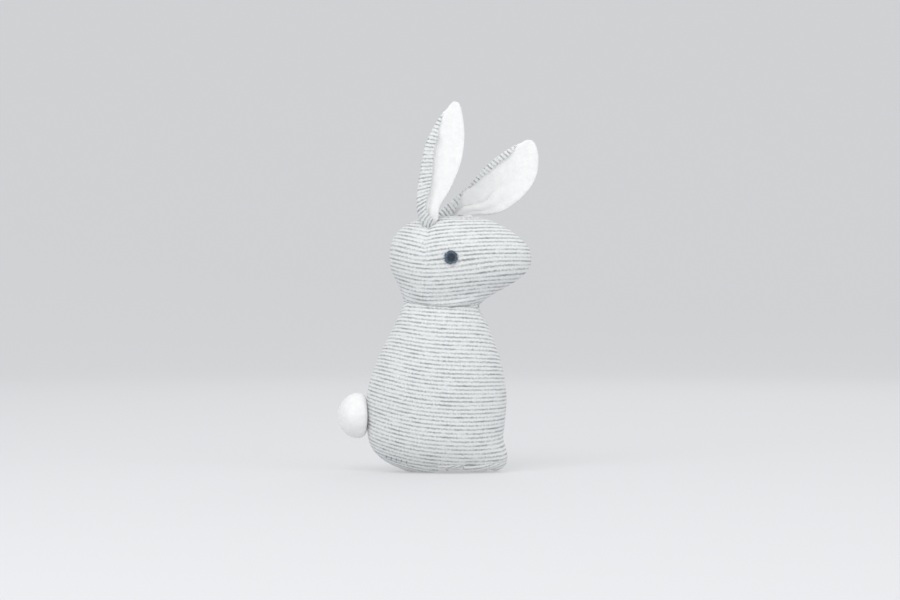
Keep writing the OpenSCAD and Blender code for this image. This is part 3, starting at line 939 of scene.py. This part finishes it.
LEFT_EAR = EarShape(
    fold=[(-5, -9), (0, -12.5), (3.3, -14), (8, -13.6), (14.4, -12.8), (19.3, -12.1), (23.6, -11.4),
          (29.2, -10.4), (34.6, -10.4), (39.8, -10.5), (46.3, -10), (53.1, -8.8), (59.8, -7), (66, -5),
          (71, -3.4), (74, -2.2), (75.6, -0.6), (76.3, 1.2)],
    rim=[(-5, -2), (0, -1), (6, 0), (12, 1.2), (17.6, 4.6), (21.8, 9.4), (26, 13.4), (31.7, 16.7),
         (38.4, 18.7), (46.9, 20), (55.1, 19.7), (62.4, 17.5), (69.5, 12.9), (72.8, 9.8), (74.8, 7),
         (75.9, 4.7), (76.3, 3)],
    edge=[(-5, -6), (0, -7), (9.7, -6.9), (13.4, -7.6), (17.4, -8.8), (21.6, -9.7), (25.2, -9.4),
          (29.3, -8.4), (33.3, -7.9), (38.3, -7.5), (44.2, -6.5), (49.3, -5.8), (53.6, -4.7), (57.6, -3.6),
          (61.7, -3.3), (66.5, -2.9), (71, -2.5), (74, -1.9), (76.3, 1.2)],
    cup=[(-5, 70), (10, 55), (38, 34), (60, 26), (76, 14)],
    arch=[(-5, 9.0), (0, 6.0), (5, 3.0), (10, 1.4), (20, 0.9), (30, 1.2), (55, 0.4), (76, -1.5)],
    slant=[(-5, -20), (10, -14), (30, 0), (76, 0)])


def ear_crease(ear, share, along):
    """A soft crease in the lining that runs up from the base, with the cloth full beside it."""
    if ear is LEFT_EAR:
        middle, fade, deep = 0.36 + 0.0027 * along, smoothstep(48, 26, along), 1.6
    else:
        middle, fade, deep = 0.33, smoothstep(24, 4, along), 0.7
    return deep * fade * (0.7 * bump(share, middle - 0.12, 0.09) - bump(share, middle, 0.055))


def ear_middle(ear, axes, share, along):
    """A point between the ear's two layers."""
    base, up, across, facing = axes
    p = ear.point(share, along)
    p.y += ear_crease(ear, share, along)
    p.y += 0.35 * noise.noise(Vector((share * 2.2, along / 11, 1.7 if ear is LEFT_EAR else 4.9)))
    return base + (across * p.x + facing * p.y + up * p.z) * MM


def ear_layer(ear, axes, side, name, material):
    """One layer of an ear. side is 1 for the lining, whose pile faces out of the cup, and -1 for the
    jersey."""
    facing = axes[3]
    bm, grid = sheet_grid(60, 96)
    uv = bm.loops.layers.uv.new("knit")
    rows, columns = len(grid), len(grid[0])
    thick = PILE_MM if side > 0 else JERSEY_MM
    laid = {}
    for i, line in enumerate(grid):
        # The rows draw closer towards the tip, and the columns towards the two rims.
        t = i / (rows - 1)
        along = EAR_ROOT + (ear.length - EAR_ROOT) * (1 - (1 - t) ** 1.35)
        turn = math.tan(math.radians(curve_through(ear.slant, along)))
        for j, v in enumerate(line):
            share = 0.5 - 0.5 * math.cos(math.pi * j / (columns - 1))
            v.co = ear_middle(ear, axes, share, along)
            stripe = along - turn * ear.past_fold(share, along)
            laid[v] = (share, along, ((share - 0.5) * ear.width(along), stripe))
    bmesh.ops.recalc_face_normals(bm, faces=bm.faces)
    bm.normal_update()
    if grid[rows // 2][4].normal.dot(facing) < 0:
        bmesh.ops.reverse_faces(bm, faces=bm.faces)
        bm.normal_update()
    normals = {v: v.normal.copy() for v in bm.verts}
    for face in bm.faces:
        for loop in face.loops:
            loop[uv].uv = laid[loop.vert][2]
    inner_side = {}
    for v in bm.verts:
        share, along, _ = laid[v]
        edge = (1 - abs(2 * share - 1) ** 5) * (1 - smoothstep(ear.length - 2.5, ear.length, along) ** 2)
        puff = math.sqrt(max(0.0, edge))
        gap = 0.06 * side - 0.4 * (1 - puff)
        inner_side[v] = v.co + normals[v] * (gap * MM)
        v.co = v.co + normals[v] * ((gap + side * thick * (0.12 + 0.88 * puff)) * MM)
    # The closed layer: its outer face, and a copy of it on the middle of the ear
    copy = bmesh.ops.duplicate(bm, geom=bm.verts[:] + bm.edges[:] + bm.faces[:])
    for v, co in inner_side.items():
        copy["vert_map"][v].co = co
    copied = [g for g in copy["geom"] if isinstance(g, bmesh.types.BMFace)]
    bmesh.ops.reverse_faces(bm, faces=copied)
    bmesh.ops.bridge_loops(bm, edges=[e for e in bm.edges if e.is_boundary])
    bmesh.ops.recalc_face_normals(bm, faces=bm.faces)
    obj = finish_mesh(bm, name, material)
    refine(obj)
    return obj


def sheet_area(ear):
    """The leaf's flat area in square metres."""
    steps = 60
    stretch = (ear.length - EAR_ROOT) / steps
    return sum(ear.width(EAR_ROOT + stretch * (k + 0.5)) for k in range(steps)) * stretch * MM * MM


def make_ear(side_name, ear, lean_deg):
    """Both layers of an ear, and the thread of the seam round their rim."""
    axes = ear_frame(f"ear_{side_name}_flop", lean_deg)
    body = f"ear_{side_name}"
    made = []
    for kind, side, cloth, material, slot in (("outer", -1, "jersey", JERSEY, "striped_jersey"),
                                              ("inner", 1, "velour", VELOUR, "white_velour")):
        obj = ear_layer(ear, axes, side, f"{cloth}_{body}_{kind}", material)
        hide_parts(f"{body}_{kind}")
        flat_width = max(ear.width(along) for along in range(0, 70, 2)) * MM
        sheet_area(ear)
        made.append(obj)
    # The seam runs between the layers, just inside the rim, up one side and down the other.
    inside, steps = 0.6, 60
    rows = [EAR_ROOT + 4 + (ear.length - EAR_ROOT - 5) * k / steps for k in range(steps + 1)]
    path = [ear_middle(ear, axes, inside / ear.width(along), along) for along in rows]
    path += [ear_middle(ear, axes, 1 - inside / ear.width(along), along) for along in reversed(rows)]
    made.append(thread_piece(f"{body}_rim_seam", [path], 0.15 * MM, None, f"{body}_seam_thread"))
    for obj in made:
        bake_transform(obj)


# ---- Small pieces ----

def thread_piece(name, paths, radius, body, replaced):
    """Lengths of thread as round tubes, one for each path, in place of a CAD node."""
    curve = bpy.data.curves.new(name, "CURVE")
    curve.dimensions = "3D"
    curve.bevel_depth = radius
    curve.bevel_resolution = 2
    curve.use_fill_caps = True
    for path in paths:
        spline = curve.splines.new("POLY")
        spline.points.add(len(path) - 1)
        for point, co in zip(spline.points, path):
            point.co = (*co, 1.0)
    holder = bpy.data.objects.new(name + "_path", curve)
    bpy.context.scene.collection.objects.link(holder)
    depsgraph = bpy.context.evaluated_depsgraph_get()
    mesh = bpy.data.meshes.new_from_object(holder.evaluated_get(depsgraph))
    bpy.data.objects.remove(holder)
    mesh.name = name
    obj = smooth_object(mesh, name, THREAD)
    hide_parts(replaced)
    if body:
        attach(obj, body)
    return obj


# Tones of the eye's rings: the dark blue thread's own colour, and in the two lighter rings near the rim
# (0.55, 0.72) a painted highlight of the silky thread
RING_TONES_AND_HIGHLIGHT = (0.25, 0.1, 0.03, 0.1, 0.55, 0.72, 0.34)    # the eye's rings of stitches, from the middle out
STITCH_GAP, STITCH_LENGTH, STITCH_WIDTH = 0.85 * MM, 0.95 * MM, 0.38 * MM


def make_eye(side_name):
    """A satin-stitched eye: rings of short stitches laid around a dark centre, on a low padded disc."""
    lo, hi = (Vector(c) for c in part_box(f"eye_{side_name}"))
    centre = (lo + hi) / 2
    out = head_skin.find_nearest(centre)[1].copy()
    if out.dot(centre - head_centre) < 0:
        out = -out
    out = Vector((0.35 * out.x, out.y, 0.5 * out.z)).normalized()
    fore = (Vector((1, 0, 0)) - out * out.x).normalized()
    lift = out.cross(fore)
    radius = 0.475 * (hi.z - lo.z)
    seed = 7 if centre.y > 0 else 11
    centre -= Vector((0.7 * MM, 0, 0.3 * MM))

    def place(x, y, height):
        return centre + fore * x + lift * y + out * height

    bm = bmesh.new()
    thread_tone_and_highlight = bm.verts.layers.float.new("thread_tone_and_highlight")
    # Padding
    bmesh.ops.create_cone(bm, cap_ends=True, segments=40, radius1=radius * 0.93, radius2=radius * 0.8,
                          depth=1.0 * MM)
    for v in bm.verts:
        v.co = place(v.co.x, v.co.y, v.co.z - 0.15 * MM)
        v[thread_tone_and_highlight] = 0.25
    rng = np.random.default_rng(seed)
    last = len(RING_TONES_AND_HIGHLIGHT) - 1
    for ring, ring_tone_and_highlight in enumerate(RING_TONES_AND_HIGHLIGHT):
        r = radius * (0.07 + 0.88 * ring / last)
        dome = 0.75 * MM * (1 - (r / radius) ** 2) + 0.12 * MM
        count = max(5, round(2 * math.pi * r / STITCH_GAP))
        for k in range(count):
            turn = 2 * math.pi * (k + 0.5 * (ring % 2)) / count + rng.uniform(-0.08, 0.08)
            length = STITCH_LENGTH * rng.uniform(0.85, 1.25)
            fat = STITCH_WIDTH * rng.uniform(0.85, 1.15)
            rr = r + rng.uniform(-0.2, 0.2) * MM
            # The outermost stitches point outwards and make a ragged edge.
            lean = turn + (rng.uniform(-0.4, 0.4) if ring == last else math.pi / 2 + rng.uniform(-0.25, 0.25))
            # A stitch's tone is its ring's, spread at random; on the two lighter rings this is painted
            # highlight
            stitch_tone_and_highlight = min(1.0, max(0.0, ring_tone_and_highlight + rng.uniform(-0.18, 0.18)))
            for v in bmesh.ops.create_uvsphere(bm, u_segments=8, v_segments=6, radius=1.0)["verts"]:
                along, wide, high = v.co.x * length * 0.62, v.co.y * fat, v.co.z * fat * 0.8
                x = rr * math.cos(turn) + along * math.cos(lean) - wide * math.sin(lean)
                y = rr * math.sin(turn) + along * math.sin(lean) + wide * math.cos(lean)
                v.co = place(x, y, high + dome)
                v[thread_tone_and_highlight] = stitch_tone_and_highlight
    obj = finish_mesh(bm, f"satin_stitch_eye_{side_name}", EYE_THREAD)
    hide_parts(f"eye_{side_name}")
    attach(obj, "head")


def make_tail():
    """A velour puff, drawn together flat against the back, and its gathering thread."""
    lo, hi = (Vector(c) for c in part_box("tail_cover"))
    half, middle = (hi - lo) / 2, (hi + lo) / 2
    near_reach, far_reach = 5.7 * MM, 12.6 * MM
    bm = bmesh.new()
    bmesh.ops.create_uvsphere(bm, u_segments=96, v_segments=64, radius=1.0)
    for v in bm.verts:
        # The sphere's poles turn to -X and +X.
        unit = Vector((-v.co.z, v.co.y, v.co.x))
        turn = math.atan2(unit.z, unit.y)
        polar = math.acos(max(-1.0, min(1.0, -unit.x)))        # 0 at the far side, pi against the back
        swell = math.sin(polar) if polar < math.pi / 2 else math.sin(polar) ** 0.42
        ring = swell / max(math.sin(polar), 1e-6)
        forward = -math.cos(polar)
        near = smoothstep(0.0, 1.0, forward)
        pull = near * (0.02 * math.sin(13 * turn) + 0.012 * math.sin(21 * turn + 1))
        lump = 0.025 * noise.noise(unit * 1.3) + 0.006 * noise.noise(unit * 6)
        y = half.y * unit.y * ring * (1 + pull + lump)
        z = half.z * unit.z * ring * (1 + pull + lump)
        if forward > 0:
            # The near side is hollow, to the curve of the back.
            reach = near_reach * forward + 0.010 / MM * y * y * near
        else:
            reach = far_reach * forward * (1 + lump)
        v.co = Vector((hi.x - 4.5 * MM + reach, y, middle.z + z))
    bmesh.ops.recalc_face_normals(bm, faces=bm.faces)
    obj = finish_mesh(bm, "velour_tail_puff", VELOUR)
    refine(obj)
    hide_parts("tail_cover")
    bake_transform(obj)
    turns = [2 * math.pi * k / 48 for k in range(49)]
    loop = [Vector((hi.x - 1.6 * MM, 0.55 * half.y * math.cos(a), middle.z + 0.55 * half.z * math.sin(a)))
            for a in turns]
    thread_piece("tail_gathering_thread", [loop], 0.2 * MM, "tail", "tail_gather_thread")


def make_closing_stitches(skin, count=5, steps=6):
    """Ladder stitches that close the stuffing hole, each sunk a little into the jersey."""
    lo, hi = (Vector(c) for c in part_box("closing_stitches"))
    tree = BVHTree.FromObject(skin, bpy.context.evaluated_depsgraph_get())
    paths = []
    for k in range(count):
        t = k / (count - 1)
        x = lo.x + (hi.x - lo.x) * (0.02 + 0.96 * t)
        z = hi.z + (lo.z - hi.z) * (0.25 + 0.6 * t) + 1.2 * MM
        path = []
        for s in range(steps + 1):
            u = s / steps
            at = Vector((x + 0.5 * MM * u, lo.y - 0.01, z + (2.6 * u - 1.3) * MM))
            hit = tree.ray_cast(at, Vector((0, 1, 0)))[0] or tree.find_nearest(at)[0]
            # The ends of a stitch go into the cloth.
            sink = 0.12 - 0.55 * abs(2 * u - 1) ** 3
            path.append(hit + Vector((0, -1, -0.5)).normalized() * sink * MM)
        paths.append(path)
    thread_piece("closing_ladder_stitches", paths, 0.22 * MM, "torso", "closing_stitches")


def make_neck_thread():
    """The drawn-in seam between torso and head, in the bottom of its crease."""
    inside = 0.985
    ring = [neck_ring(j % COLUMNS) for j in range(COLUMNS + 1)]
    path = [Vector((NECK.x + (p.x - NECK.x) * inside, p.y * inside, p.z)) for p in ring]
    thread_piece("neck_drawn_seam", [path], 0.25 * MM, "neck", "neck_seam_thread")


# ---- Build ----

right_side = make_torso()
make_head()
make_ear("right", RIGHT_EAR, 77)
make_ear("left", LEFT_EAR, 50.3)
make_eye("right")
make_eye("left")
make_tail()
make_neck_thread()
make_closing_stitches(right_side)

# The CAD nodes that stay are stuffing and threads.
for node_name, obj in frame["nodes"].items():
    obj.data.materials.clear()
    obj.data.materials.append(FILL if node_name.endswith("stuffing") else THREAD)


# ---- Studio ----

def soft_box(name, place, size, power):
    """A large square light, turned to the middle of the toy."""
    light = bpy.data.lights.new(name, "AREA")
    light.shape = "RECTANGLE"
    light.size = light.size_y = size
    light.energy = power
    obj = bpy.data.objects.new(name, light)
    obj.location = place
    obj.rotation_euler = (Vector((0, 0, 0.11)) - Vector(place)).to_track_quat("-Z", "Y").to_euler()
    bpy.context.scene.collection.objects.link(obj)


def make_studio():
    """A seamless sweep of pale acrylic, with soft light all round."""
    # The sweep's floor runs out to a round wall, so every side of the toy has the same ground behind it.
    floor_radius, bend = 1.7, 1.4
    floor_steps, bend_steps = 6, 16
    profile = [Vector((floor_radius * k / floor_steps, 0, 0)) for k in range(floor_steps + 1)]
    profile += [Vector((floor_radius + bend * math.sin(a), 0, bend * (1 - math.cos(a))))
                for a in (math.pi / 2 * k / bend_steps for k in range(1, bend_steps + 1))]
    bm = bmesh.new()
    line = [bm.verts.new(co) for co in profile]
    edges = [bm.edges.new(pair) for pair in zip(line, line[1:])]
    bmesh.ops.spin(bm, geom=line + edges, cent=(0, 0, 0), axis=(0, 0, 1), angle=2 * math.pi, steps=72,
                   use_merge=True, use_normal_flip=False, use_duplicate=False)
    bmesh.ops.remove_doubles(bm, verts=bm.verts, dist=0.1 * MM)
    bmesh.ops.recalc_face_normals(bm, faces=bm.faces)
    finish_mesh(bm, "acrylic_sweep", backlit_acrylic())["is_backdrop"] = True

    soft_box("key", (-0.45, -1.0, 1.05), 1.1, 10.0)
    soft_box("fill", (1.1, -0.9, 0.7), 1.1, 4.5)
    soft_box("back", (0.3, 1.1, 1.2), 1.2, 4.0)
    world = bpy.data.worlds.new("studio")
    bpy.context.scene.world = world
    world.use_nodes = True
    background = next(n for n in world.node_tree.nodes if n.type == "BACKGROUND")
    background.inputs["Color"].default_value = linear("#F2F4F6")
    background.inputs["Strength"].default_value = 0.72


def make_camera():
    """Level with the middle of the toy, square to its right side."""
    camera = bpy.data.cameras.new("camera")
    camera.lens = 85
    camera.sensor_width = 36
    frame_width = 0.558        # metres across the frame at the toy
    distance = frame_width * camera.lens / camera.sensor_width
    obj = bpy.data.objects.new("camera", camera)
    obj.location = (0.0074, -distance, 0.1066)
    obj.rotation_euler = (math.radians(90), 0, 0)
    bpy.context.scene.collection.objects.link(obj)
    bpy.context.scene.camera = obj


make_studio()
make_camera()
bpy.context.scene.view_settings.view_transform = "Standard"

visual_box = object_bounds()
boxes = [[list(corner) for corner in box] for box in (cad_box, visual_box)]
